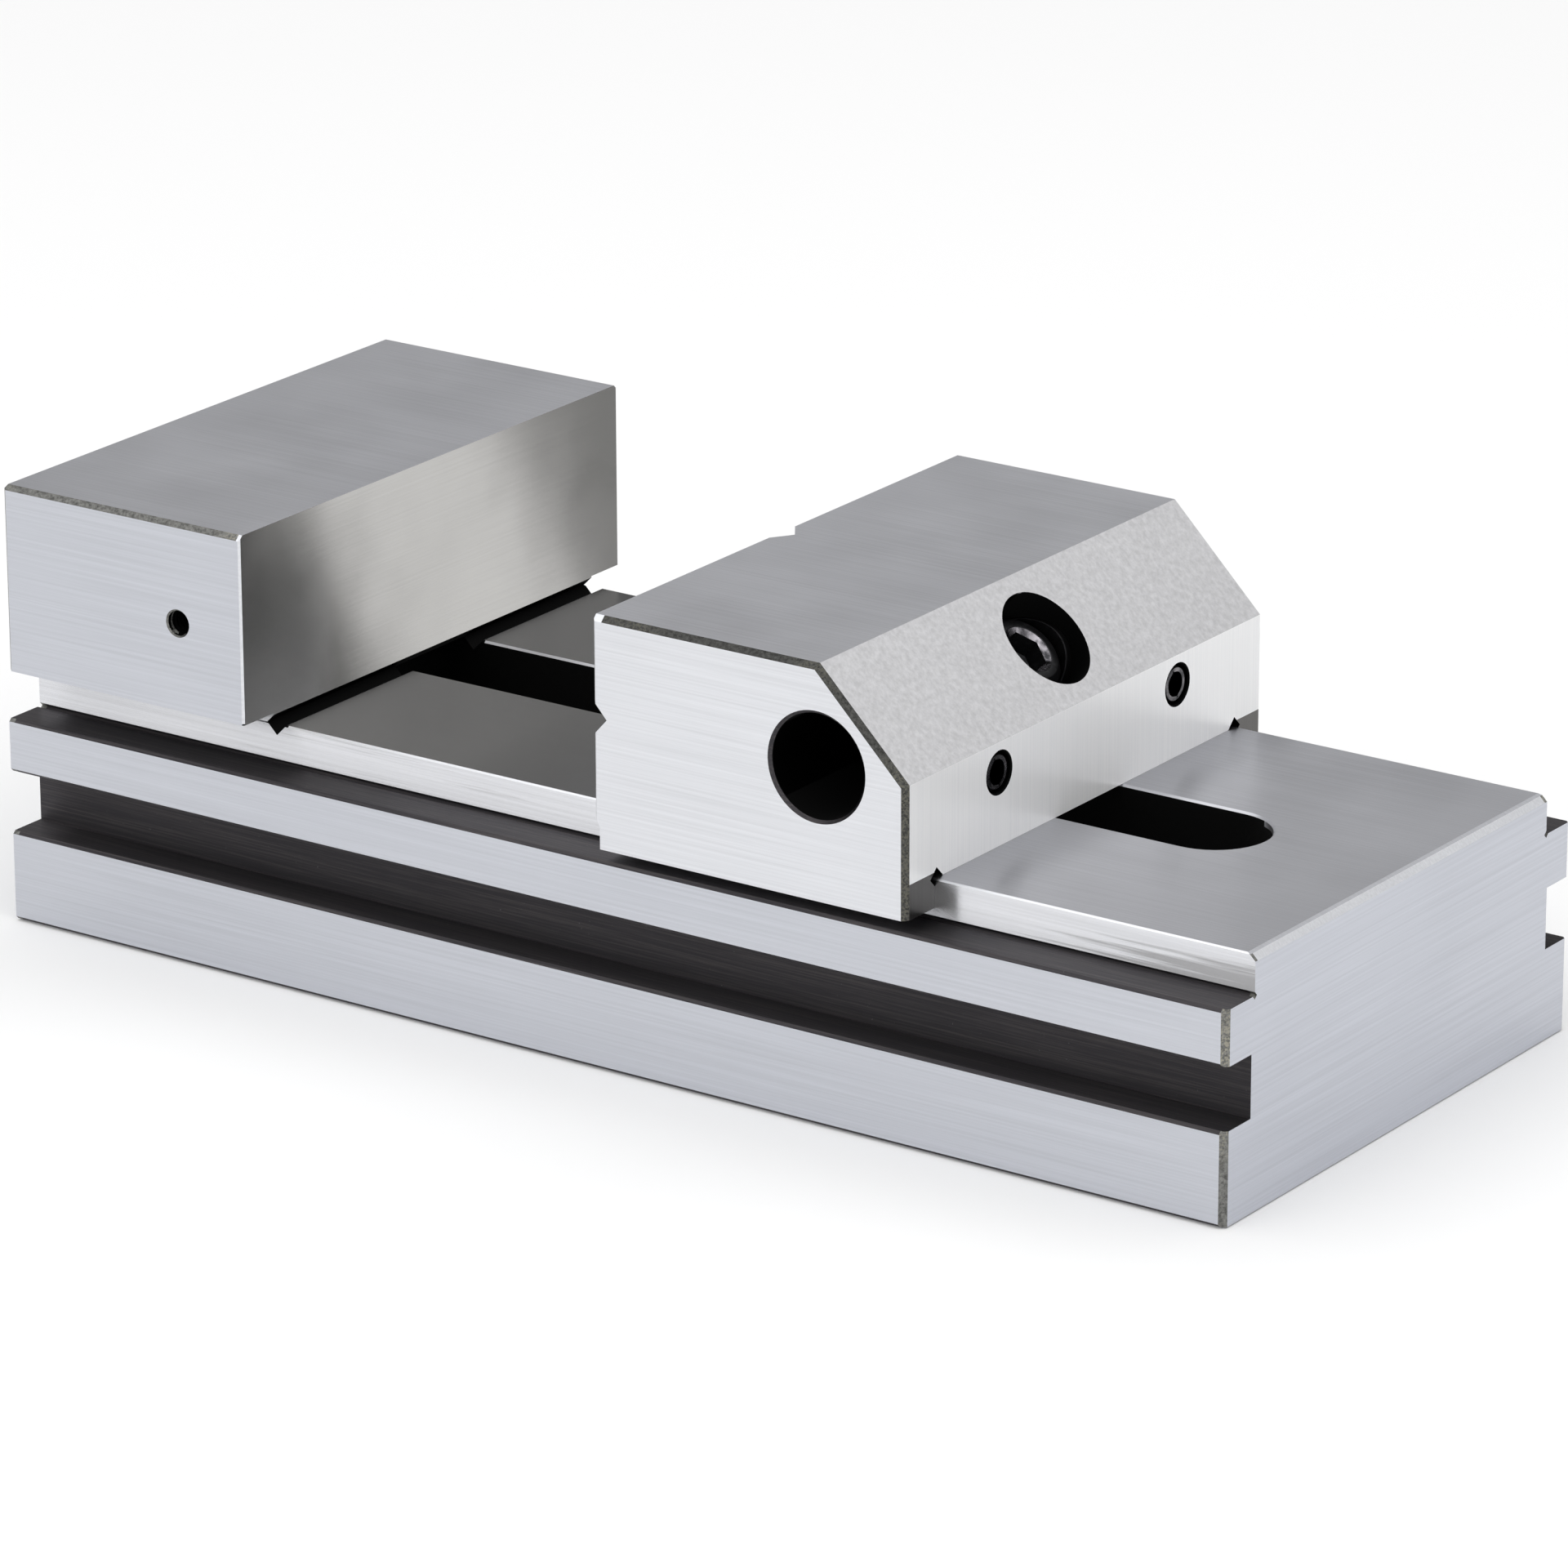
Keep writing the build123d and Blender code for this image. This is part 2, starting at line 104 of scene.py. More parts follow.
class Nodes:
    """A node tree that is written as short calls."""

    def __init__(self, tree: bpy.types.NodeTree) -> None:
        """Starts with the tree emptied, and one Texture Coordinate node."""
        self.tree = tree
        self.tree.nodes.clear()
        self.place = self.node("TexCoord")

    def feed(self, socket: Socket, value: Input) -> None:
        """Gives a socket a number, a colour or another node's output.

        Args:
            socket: The input that is fed.
            value: A number, a tuple or a socket.
        """
        if isinstance(value, Socket):
            self.tree.links.new(value, socket)
        elif socket.type == "RGBA":
            socket.default_value = (*value, 1.0)
        else:
            socket.default_value = value

    def node(self, kind: str, inputs: dict | None = None, **settings: str | bool) -> bpy.types.Node:
        """Adds a node.

        Args:
            kind: Its type, without the word ShaderNode.
            inputs: What its inputs get, by their names or numbers.
            settings: Its other settings.

        Returns:
            The node.
        """
        node = self.tree.nodes.new("ShaderNode" + kind)
        for name, setting in settings.items():
            setattr(node, name, setting)
        for key, value in (inputs or {}).items():
            self.feed(node.inputs[key], value)
        return node

    def math(self, operation: str, *values: Input) -> Socket:
        """Returns the result of a Math node with these inputs."""
        return self.node("Math", dict(enumerate(values)), operation=operation).outputs[0]

    def vector(self, operation: str, *values: Input) -> Socket:
        """Returns the result of a Vector Math node with these inputs."""
        return self.node("VectorMath", dict(enumerate(values)), operation=operation).outputs[0]

    def above(self, value: Input, limit: Input) -> Socket:
        """Returns 1 where the value is over the limit."""
        return self.math("GREATER_THAN", value, limit)

    def near(self, value: Input, middle: float, reach: float) -> Socket:
        """Returns 1 where the value is within reach of the middle."""
        return self.math("COMPARE", value, middle, reach)

    def both(self, *masks: Socket) -> Socket:
        """Returns the masks' overlap."""
        return reduce(partial(self.math, "MULTIPLY"), masks)

    def either(self, *masks: Input) -> Socket:
        """Returns all the masks' ground together."""
        return reduce(partial(self.math, "MAXIMUM"), masks)

    def other(self, mask: Socket) -> Socket:
        """Returns all that the mask leaves out."""
        return self.math("SUBTRACT", 1.0, mask)

    def face(self, way: Socket, value: Socket, place: float) -> Socket:
        """Returns the faces that are square to an axis and lie at this place on it."""
        return self.both(self.above(way, SQUARE), self.near(value, place, REACH))

    def slanted(self, ways: Triple) -> Socket:
        """Returns the faces that are square to no axis."""
        return self.both(*(self.other(self.above(way, SQUARE)) for way in ways))

    def from_pivot(self, x: Socket, z: Socket) -> tuple[Socket, Socket]:
        """Returns how far a place is from the cross bolt's axis along X and along Z."""
        return self.math("SUBTRACT", x, PIVOT.x), self.math("SUBTRACT", z, PIVOT.z)

    def away(self, first: Socket, second: Socket) -> Socket:
        """Returns how far a place is from an axis, from its two distances square to it."""
        squares = (self.math("MULTIPLY", side, side) for side in (first, second))
        return self.math("SQRT", self.math("ADD", *squares))

    def split(self, vector: Socket) -> Triple:
        """Returns the three parts of a vector."""
        return tuple(self.node("SeparateXYZ", {0: vector}).outputs)

    def join(self, x: Input, y: Input, z: Input) -> Socket:
        """Makes a vector of three parts."""
        return self.node("CombineXYZ", {0: x, 1: y, 2: z}).outputs[0]

    def noise(self, scale: float | tuple, detail: float = 3.0, rough: float = 0.55) -> Socket:
        """Adds noise on Object coordinates.

        Args:
            scale: Cycles per metre, or three such numbers for X, Y and Z.
            detail: The noise's octaves.
            rough: How strong the fine octaves are.

        Returns:
            The noise from 0 to 1.
        """
        stretch = scale if isinstance(scale, tuple) else (scale, scale, scale)
        spot = self.node("Mapping", {"Vector": self.place.outputs["Object"], "Scale": stretch}).outputs[0]
        inputs = {"Vector": spot, "Scale": 1.0, "Detail": detail, "Roughness": rough}
        return self.node("TexNoise", inputs).outputs["Fac"]

    def spread(self, value: Input, low: float, high: float, start: float = 0.0, end: float = 1.0) -> Socket:
        """Maps a value from one span to another and holds it there.

        Args:
            value: What is mapped.
            low: One end of its span.
            high: The other end.
            start: What low gives.
            end: What high gives.

        Returns:
            The mapped value.
        """
        inputs = {"Value": value, "From Min": low, "From Max": high, "To Min": start, "To Max": end}
        return self.node("MapRange", inputs, clamp=True).outputs[0]

    def fade(self, value: Input, low: float, high: float) -> Socket:
        """Rises softly from 0 to 1 as a value goes from low to high."""
        inputs = {"Value": value, "From Min": low, "From Max": high}
        return self.node("MapRange", inputs, interpolation_type="SMOOTHSTEP").outputs[0]

    def blend(self, mask: Input, first: Input, second: Input) -> Socket:
        """Mixes two colours, 0 for the first and 1 for the second."""
        return self.node("Mix", {0: mask, 6: first, 7: second}, data_type="RGBA").outputs[2]

    def pick(self, mask: Input, first: Input, second: Input) -> Socket:
        """Mixes two numbers, 0 for the first and 1 for the second."""
        return self.node("Mix", {0: mask, 2: first, 3: second}).outputs[0]

    def bump(self, height: Socket, strength: float, depth: float = 0.02 * MM) -> Socket:
        """Returns the normal of relief whose height goes from 0 to 1."""
        return self.node("Bump", {"Strength": strength, "Distance": depth, "Height": height}).outputs[0]

    def fan(self, normal: Socket, across: Socket, width: Input, lean: Input) -> Socket:
        """Fans a normal out across the wheel's lines, which are too fine to see one by one.

        Args:
            normal: The normal that is fanned out.
            across: The way across the lines.
            width: How wide it fans out.
            lean: How far the fan as a whole leans that way.

        Returns:
            The normal of one such line.
        """
        speck = self.node("TexWhiteNoise", {"Vector": self.place.outputs["Object"]})
        parts = self.split(speck.outputs["Color"])
        swing = self.math("SUBTRACT", reduce(partial(self.math, "ADD"), parts), len(parts) / 2)
        tilt = self.math("ADD", self.math("MULTIPLY", swing, width), lean)
        leant = self.vector("ADD", normal, self.vector("MULTIPLY", across, tilt))
        return self.vector("NORMALIZE", leant)


class Recipe(Nodes):
    """One material's nodes round a Principled shader."""

    def __init__(self, name: str) -> None:
        """Starts the material with its shader joined to its output."""
        self.material = bpy.data.materials.new(name)
        self.material.use_nodes = True
        super().__init__(self.material.node_tree)
        self.shader = self.node("BsdfPrincipled")
        self.output = self.node("OutputMaterial", {"Surface": self.shader.outputs["BSDF"]})

    def finish(self, colour: Input, rough: Input, metal: Input, **others: Input) -> Material:
        """Feeds the shader.

        Args:
            colour: The base colour.
            rough: The roughness.
            metal: 1 for bare metal.
            others: More of the shader's inputs, by their names.

        Returns:
            The material.
        """
        inputs = {"Base Color": colour, "Roughness": rough, "Metallic": metal, **others}
        for name, value in inputs.items():
            self.feed(self.shader.inputs[name], value)
        return self.material


@dataclass(frozen=True)
class Ground:
    """One way of grinding a face.

    Args:
        colour: The steel's colour there.
        roughness: How far it blurs what it mirrors.
        lines: Which way the wheel ran.
        relief: How deep its lines are, 1 for a common face.
        sheen: How far the colour comes and goes from line to line.
        gleam: 1 for a clear mirror, less where the lines scatter light.
        fan: How wide its finest lines fan out what it mirrors, across them.
        lean: How far their cutting side leans.
        streaked: Whether it gets streaks, darker and more of them low down and toward the free end.
    """

    colour: Colour
    roughness: float
    lines: Lines = Lines.ALONG
    relief: float = 0.5
    sheen: float = 0.06
    gleam: float = 1.0
    fan: float = 0.15
    lean: float = 0.0
    streaked: bool = False


SIDE = Ground((0.58, 0.595, 0.64), 0.3)
END = Ground((0.59, 0.607, 0.66), 0.3, Lines.ACROSS)
TOP = Ground((0.545, 0.55, 0.58), 0.36, fan=0.1)
# Painted shade: a dark tone on the bed between the jaws, for the shade and dark reflection there; FREE_BED
# is the bed's own tone.
PAINTED_SHADE_BED = Ground((0.19, 0.19, 0.192), 0.12, relief=0.4, fan=0.15)
FREE_BED = Ground((0.505, 0.51, 0.54), 0.36, fan=0.1)
JAW_FACE = Ground((0.6, 0.592, 0.576), 0.06, Lines.ACROSS, relief=0.05, sheen=0.02, fan=0.3, lean=0.55)
LAPPED_SIDE = Ground((0.79, 0.8, 0.83), 0.42, fan=0.2)
SLOPE = Ground((0.61, 0.608, 0.62), 0.5, Lines.NONE, relief=1.0, sheen=0.1, fan=0.0)
# Painted light: the jaw's rear face gets a near-white, mostly matt tone for the bright light it catches.
PAINTED_LIGHT_REAR = Ground((0.985, 0.99, 1.0), 0.3, Lines.UPRIGHT, relief=0.6, gleam=0.2, fan=0.2)
# Painted shade: a dark tone on the rear ends of the jaw's skirts, which the guide wall also mirrors dark.
PAINTED_SHADE_SKIRT_END = Ground((0.13, 0.127, 0.123), 0.3, Lines.UPRIGHT, relief=0.3, fan=0.1)
GUIDE = Ground((0.83, 0.838, 0.87), 0.25, relief=0.5, fan=0.12, lean=0.3, streaked=True)

Zones = tuple[list[tuple[Socket, Ground]], Socket, Socket]


class Places:
    """Where a node's finishes lie. Each ground node has its own."""

    def find(self, r: Recipe, spot: Triple, ways: Triple) -> Zones:
        """Works out the masks.

        Args:
            r: The material.
            spot: The place on the node.
            ways: How far the face looks along each axis, either way.

        Returns:
            The ground faces' masks with their kinds, the mask of the edge breaks, and that of what lies
            deep, which gets painted shade.
        """
        raise NotImplementedError


@dataclass(frozen=True)
class BodyPlaces(Places):
    """The body: ground sides, ends, tops and guide walls, black grooves, and painted shade, near black, in
    the slot, the stop holes and the groove at the fixed jaw's foot.

    A pair is a middle and a reach to both sides of it, but for the fade of the bed's painted shade, which
    is a start and an end.
    """

    jaw_face: Pair = (-80.5 * MM, 0.8 * MM)
    jaw_foot: float = 50.5 * MM
    jaw_from: float = 90.0 * MM
    break_width: float = 1.3 * MM
    end_corner: float = 50.0 * MM
    guide_foot: float = 41.2 * MM
    # Where along x the bed's painted shade fades into its own tone.
    painted_shade_fade: Pair = (-35.0 * MM, 75.0 * MM)
    bed_rim: Pair = (48.3 * MM, 0.8 * MM)
    bed_rim_y: float = 50.4 * MM
    bed_rim_x: float = 137.0 * MM
    groove_x: Pair = (-79.9 * MM, 2.7 * MM)
    groove_z: Pair = (48.7 * MM, 2.6 * MM)
    slot_x: Pair = (6.0 * MM, 103.5 * MM)
    slot_side: float = 11.6 * MM
    slot_foot: float = 29.2 * MM
    hole_reach: float = 2.6 * MM
    hole_end: float = 46.0 * MM

    def find(self, r: Recipe, spot: Triple, ways: Triple) -> Zones:
        """Works out the body's masks. Args and Returns are those of Places."""
        x, y, z = spot
        nx, ny, nz = ways
        far_x, far_y = r.math("ABSOLUTE", x), r.math("ABSOLUTE", y)
        top, base, bed = (r.face(nz, z, height) for height in (TOP_Z, 0.0, BED_Z))
        wall = r.both(r.face(ny, far_y, GUIDE_Y), r.above(z, self.guide_foot))
        slanted = r.slanted(ways)
        at_jaw_face = r.near(x, *self.jaw_face)
        over_bed = r.above(z, self.jaw_foot)
        outside = r.either(
            r.both(r.above(far_y, SIDE_Y - self.break_width), r.above(far_x, self.jaw_from), over_bed),
            r.both(r.above(far_x, END_X - self.break_width), r.above(far_y, self.end_corner)),
            r.above(z, TOP_Z - self.break_width),
        )
        breaks = r.both(slanted, outside, r.other(at_jaw_face))
        groove = r.both(r.near(x, *self.groove_x), r.near(z, *self.groove_z))
        bed_rim = r.near(z, *self.bed_rim)
        bed_edge = r.both(bed_rim, r.either(r.above(far_y, self.bed_rim_y), r.above(x, self.bed_rim_x)))
        edges = r.either(r.both(at_jaw_face, over_bed), bed_edge)
        # Painted highlight: the chamfers round the fixed jaw's face and along the bed's rim get the pale
        # lapped tone, as thin light lines on those edges.
        bright = r.both(slanted, r.other(breaks), r.other(groove), edges)
        over_pocket = r.above(z, self.slot_foot)
        in_slot = r.both(r.near(x, *self.slot_x), r.above(self.slot_side, far_y), over_pocket)
        slot_edge = r.both(slanted, bed_rim, in_slot, r.other(groove))
        in_hole = r.both(r.near(x, STOP_HOLE_X, self.hole_reach), r.near(z, STOP_HOLE_Z, self.hole_reach))
        stop_hole = r.both(in_hole, r.above(far_y, self.hole_end))
        ground = [
            (r.face(ny, far_y, SIDE_Y), SIDE),
            (r.face(nx, far_x, END_X), END),
            (r.either(top, base), TOP),
            # The bed between the jaws keeps its painted shade, which fades into the free bed's tone along
            # x.
            (bed, PAINTED_SHADE_BED),
            (r.both(bed, r.fade(x, *self.painted_shade_fade)), FREE_BED),
            (r.face(nx, x, self.jaw_face[0]), JAW_FACE),
            (wall, GUIDE),
            # Painted highlight on those chamfers.
            (bright, LAPPED_SIDE),
            (slot_edge, TOP),
        ]
        # The slot, the stop holes and the groove at the fixed jaw's foot get painted shade.
        return ground, breaks, r.either(in_slot, stop_hole, groove)


@dataclass(frozen=True)
class JawPlaces(Places):
    """The moving jaw: ground outside, with painted shade, near black, in its bore, key hole, passage and
    reliefs.

    slope and diagonal are a middle and a reach, of x and z added and of the way it looks. skirt_end is its
    inner side and its top.
    """

    fronts: Pair = (1.6 * MM, 2.7 * MM)
    rear: float = 70.6 * MM
    skirt: float = 43.4 * MM
    seat: float = 49.02 * MM
    guide: float = 50.83 * MM
    slope: Pair = (139.7 * MM, 0.6 * MM)
    diagonal: Pair = (math.sqrt(0.5), 0.02)
    vee_end: float = 5.2 * MM
    bore_rim: float = 11.2 * MM
    break_width: float = 1.4 * MM
    breaks_from: float = 3.5 * MM
    skirt_end: Pair = (50.5 * MM, 50.2 * MM)
    # How far in from the outer sides the painted shade begins.
    deep_from: float = 0.6 * MM

    def find(self, r: Recipe, spot: Triple, ways: Triple) -> Zones:
        """Works out the jaw's masks. Args and Returns are those of Places."""
        x, y, z = spot
        nx, ny, nz = ways
        far_y = r.math("ABSOLUTE", y)
        sides = [r.face(ny, far_y, place) for place in (SIDE_Y, self.guide)]
        fronts = [r.face(nx, x, place) for place in self.fronts]
        unders = [r.face(nz, z, height) for height in (self.skirt, self.seat)]
        rear = r.face(nx, x, self.rear)
        in_skirt = r.both(r.above(far_y, self.skirt_end[0]), r.above(self.skirt_end[1], z))
        diagonal = r.both(r.near(nx, *self.diagonal), r.near(nz, *self.diagonal))
        slope = r.both(diagonal, r.near(r.math("ADD", x, z), *self.slope))
        slanted = r.slanted(ways)
        from_bore = r.away(*r.from_pivot(x, z))
        at_side = r.both(r.above(far_y, SIDE_Y - self.break_width), r.above(x, self.breaks_from))
        breaks = r.both(slanted, at_side, r.other(slope), r.above(from_bore, self.bore_rim))
        ground = [
            (r.either(*sides, *fronts, *unders), LAPPED_SIDE),
            (r.face(nz, z, TOP_Z), TOP),
            # Painted light on the jaw's rear face.
            (rear, PAINTED_LIGHT_REAR),
            # Painted shade on the rear ends of the skirts.
            (r.both(rear, in_skirt), PAINTED_SHADE_SKIRT_END),
            (slope, SLOPE),
            (r.both(slanted, r.above(self.vee_end, x)), LAPPED_SIDE),
        ]
        # All inside the outer sides that no ground face covers gets painted shade.
        return ground, breaks, r.above(SIDE_Y - self.deep_from, far_y)


@dataclass(frozen=True)
class HardenedSteel:
    """Hardened tool steel: ground where it works, black in its hollows with painted shade deep inside,
    scaly on its edge breaks.

    Args:
        black: The hollows' colour.
        deep: The painted shade, near black, deep inside, which light hardly reaches.
        worn: The colour of scratches in the hollows.
        speck: The colour of bright specks there.
        scale: The colour of the edge breaks.
        rust: The colour of old specks on them.
        streak: The colour of the streaks.
        streaks_x: Where along the bed they begin to grow, and where they are full.
        streaks_z: The same from the bed down.
        anisotropy: How far the wheel's lines stretch a highlight.
    """

    black: Colour = (0.058, 0.055, 0.06)
    # Painted shade for what lies deep.
    deep: Colour = (0.008, 0.008, 0.008)
    worn: Colour = (0.12, 0.11, 0.11)
    speck: Colour = (0.3, 0.3, 0.3)
    scale: Colour = (0.2, 0.2, 0.19)
    rust: Colour = (0.42, 0.4, 0.33)
    streak: Colour = (0.45, 0.45, 0.46)
    streaks_x: Pair = (85.0 * MM, 145.0 * MM)
    streaks_z: Pair = (49.5 * MM, 42.5 * MM)
    anisotropy: float = 0.8

    def lines(self, r: Recipe, way: Lines) -> Socket:
        """Gives the wheel's lines.

        Args:
            r: The material that gets them.
            way: Which way they run.

        Returns:
            The lines as noise from 0 to 1.
        """
        fine, long, grain = 2000.0, 15.0, 850.0
        scale = {
            Lines.ALONG: (long, fine, fine),
            Lines.ACROSS: (fine, long, fine),
            Lines.UPRIGHT: (fine, fine, long),
            Lines.NONE: grain,
        }[way]
        return r.noise(scale, detail=2.0, rough=0.7 if way is Lines.NONE else 0.55)

    def hollows(self, r: Recipe, deep: Socket) -> Socket:
        """Gives the hollows' black, with scratches along the bed and bright specks, and painted shade where
        they lie deep.

        Args:
            r: The material that gets it.
            deep: Where the hollows are too deep to be seen into, which get painted shade.

        Returns:
            The colour.
        """
        scratches = r.spread(r.noise((30.0, 2600.0, 2600.0), detail=4.0, rough=0.75), 0.45, 0.8)
        specks = r.spread(r.noise(900.0, rough=0.8), 0.7, 0.78, end=0.6)
        black = r.blend(scratches, self.black, self.worn)
        # Painted shade, near black, where the hollows lie deep.
        return r.blend(deep, r.blend(specks, black, self.speck), self.deep)

    def breaks(self, r: Recipe) -> Socket:
        """Returns the edge breaks' grainy grey."""
        pits = r.spread(r.noise(1500.0, detail=4.0, rough=0.7), 0.35, 0.65)
        plain = r.blend(pits, tinted(self.scale, 0.55), tinted(self.scale, 1.5))
        patches = r.spread(r.noise(24.0, detail=2.0), 0.47, 0.6)
        specks = r.spread(r.noise(2400.0, detail=2.0), 0.45, 0.6)
        return r.blend(r.both(patches, specks), plain, self.rust)

    def streaks(self, r: Recipe, tone: Socket, spot: Triple) -> Socket:
        """Streaks a face, darker and the more so low down and toward the free end.

        Args:
            r: The material that gets them.
            tone: The face's colour without them.
            spot: The place on the node.

        Returns:
            The colour with them.
        """
        grown = r.both(r.fade(spot[0], *self.streaks_x), r.fade(spot[2], *self.streaks_z))
        plain = r.noise((14.0, 900.0, 900.0), detail=4.0, rough=0.7)
        streaks = r.math("ADD", plain, r.math("MULTIPLY", grown, 0.42))
        return r.blend(r.spread(streaks, 0.6, 0.8), tone, self.streak)

    def dress(self, name: str, places: Places) -> Material:
        """Makes the material.

        Args:
            name: The material's name.
            places: Where the node's ground faces and edge breaks are.

        Returns:
            The material.
        """
        r = Recipe(name)
        spot = r.split(r.place.outputs["Object"])
        ways = tuple(r.math("ABSOLUTE", part) for part in r.split(r.place.outputs["Normal"]))
        ground, breaks, deep = places.find(r, spot, ways)

        lines = {way: self.lines(r, way) for way in Lines}
        colour = self.hollows(r, deep)
        height = r.math("MULTIPLY", lines[Lines.ALONG], 0.3)
        upright: Input = 0.0
        values = {"roughness": r.pick(deep, 0.5, 0.9), "gleam": 1.0, "fan": 0.0, "lean": 0.0}
        for mask, kind in ground:
            pattern = lines[kind.lines]
            low, high = (tinted(kind.colour, 1 + kind.sheen * side) for side in (-1, 1))
            tone = r.blend(r.spread(pattern, 0.3, 0.7), low, high)
            if kind.streaked:
                tone = self.streaks(r, tone, spot)
            colour = r.blend(mask, colour, tone)
            height = r.pick(mask, height, r.math("MULTIPLY", pattern, kind.relief))
            for word, value in values.items():
                values[word] = r.pick(mask, value, getattr(kind, word))
            if kind.lines is Lines.UPRIGHT:
                upright = r.either(upright, mask)
        cloud = r.spread(r.noise(38.0, detail=2.0), 0.3, 0.7, -0.02, 0.02)
        rough = r.pick(breaks, r.math("ADD", values["roughness"], cloud), 0.55)
        colour = r.blend(breaks, colour, self.breaks(r))

        flat = r.either(r.above(ways[2], 0.7), upright)
        across = r.join(0.0, flat, r.other(flat))
        normal = r.fan(r.bump(height, 1.0), across, values["fan"], values["lean"])
        stretch = {"Anisotropic": self.anisotropy, "Tangent": across}
        return r.finish(colour, rough, values["gleam"], Normal=normal, **stretch)


@dataclass(frozen=True)
class BlackOxide:
    """Black oxide on a hardened screw, worn a little at its edges.

    Args:
        colour: The coating's colour.
        roughness: The coating's roughness.
    """

    colour: Colour = (0.03, 0.03, 0.032)
    roughness: float = 0.34

    def dress(self, name: str) -> Material:
        """Makes the material under this name."""
        r = Recipe(name)
        spots = r.noise(700.0, detail=4.0, rough=0.7)
        oil = r.noise(160.0, detail=2.0)
        colour = r.blend(r.spread(spots, 0.55, 0.75), self.colour, tinted(self.colour, 2.6))
        rough = r.spread(oil, 0.3, 0.7, self.roughness - 0.06, self.roughness + 0.1)
        return r.finish(colour, rough, 0.85, Normal=r.bump(spots, 0.2))


@dataclass(frozen=True)
class WornEdge:
    """The edge of a socket where the key has rubbed the black off.

    Args:
        colour: The bared steel's colour.
        left: The colour of what is left of the black.
        roughness: The edge's roughness.
    """

    colour: Colour = (0.42, 0.4, 0.43)
    left: Colour = (0.05, 0.05, 0.055)
    roughness: float = 0.2

    def dress(self, name: str) -> Material:
        """Makes the material under this name."""
        r = Recipe(name)
        patches = r.spread(r.noise(420.0), 0.35, 0.6)
        nicks = r.noise(2600.0)
        rough = r.spread(nicks, 0.3, 0.7, self.roughness, self.roughness + 0.15)
        return r.finish(r.blend(patches, self.colour, self.left), rough, 1.0, Normal=r.bump(nicks, 0.3))


@dataclass(frozen=True)
class TurnedSteel:
    """Steel with fine rings from the lathe or the drawing die.

    Args:
        colour: The steel's colour.
        roughness: The steel's roughness.
        rings: Rings per metre across the bed, the way in which the cross bolt's axis lies.
    """

    colour: Colour = (0.17, 0.17, 0.18)
    roughness: float = 0.35
    rings: float = 4000.0

    def dress(self, name: str) -> Material:
        """Makes the material under this name."""
        r = Recipe(name)
        slow = 30.0
        rings = r.noise((slow, self.rings, slow), detail=2.0)
        stain = r.spread(r.noise(220.0), 0.35, 0.7)
        colour = r.blend(stain, tinted(self.colour, 0.75), tinted(self.colour, 1.2))
        rough = r.spread(rings, 0.3, 0.7, self.roughness - 0.06, self.roughness + 0.08)
        return r.finish(self.worn(r, colour), rough, 1.0, Normal=r.bump(rings, 0.25))

    def worn(self, r: Recipe, colour: Socket) -> Socket:
        """Returns the colour as it is, which is so on most pieces; the cross bolt's steel adds a painted
        highlight.
        """
        return colour


@dataclass(frozen=True)
class CrossBoltSteel(TurnedSteel):
    """The cross bolt's dark steel, with a painted highlight round the seat of the screw's head.

    Args:
        painted_highlight_colour: The colour of the painted highlight on the rim.
        rim: The rim's radius round the screw, and its width either way.
        skin: How far out from the bolt's axis the rim lies.
    """

    painted_highlight_colour: Colour = (0.3, 0.3, 0.32)
    rim: Pair = (8.95 * MM, 0.2 * MM)
    skin: float = 9.6 * MM

    def worn(self, r: Recipe, colour: Socket) -> Socket:
        """Returns the colour with a painted highlight on the rim."""
        x, y, z = r.split(r.place.outputs["Object"])
        out_x, out_z = r.from_pivot(x, z)
        up, along = r.math("MULTIPLY", out_z, SCREW_WAY.x), r.math("MULTIPLY", out_x, SCREW_WAY.z)
        from_screw = r.away(y, r.math("SUBTRACT", up, along))
        from_bolt = r.away(out_x, out_z)
        # Painted highlight: a lighter ring round the screw's seat, on the bolt's outer face.
        rim = r.both(r.near(from_screw, *self.rim), r.above(from_bolt, self.skin), r.above(out_z, 0.0))
        return r.blend(rim, colour, self.painted_highlight_colour)


def only_edges(parts: list) -> list:
    """Returns the edges among a mesh's parts, each one once and in order."""
    return [part for part in dict.fromkeys(parts) if isinstance(part, bmesh.types.BMEdge)]


def set_radius(vert: bmesh.types.BMVert, radius: float) -> None:
    """Moves a point straight out or in until it is this far from the axis."""
    share = radius / math.hypot(vert.co.x, vert.co.y)
    vert.co.xy = vert.co.xy * share


def hexagon_corner(width: float) -> float:
    """Returns how far a hexagon's corners lie from its middle, from its width across flats."""
    return width / 2 / math.cos(math.pi / 6)


def add_object(name: str, data: bpy.types.ID) -> bpy.types.Object:
    """Adds an object with this mesh, lamp or camera to the scene, and returns it."""
    thing = bpy.data.objects.new(name, data)
    bpy.context.scene.collection.objects.link(thing)
    return thing


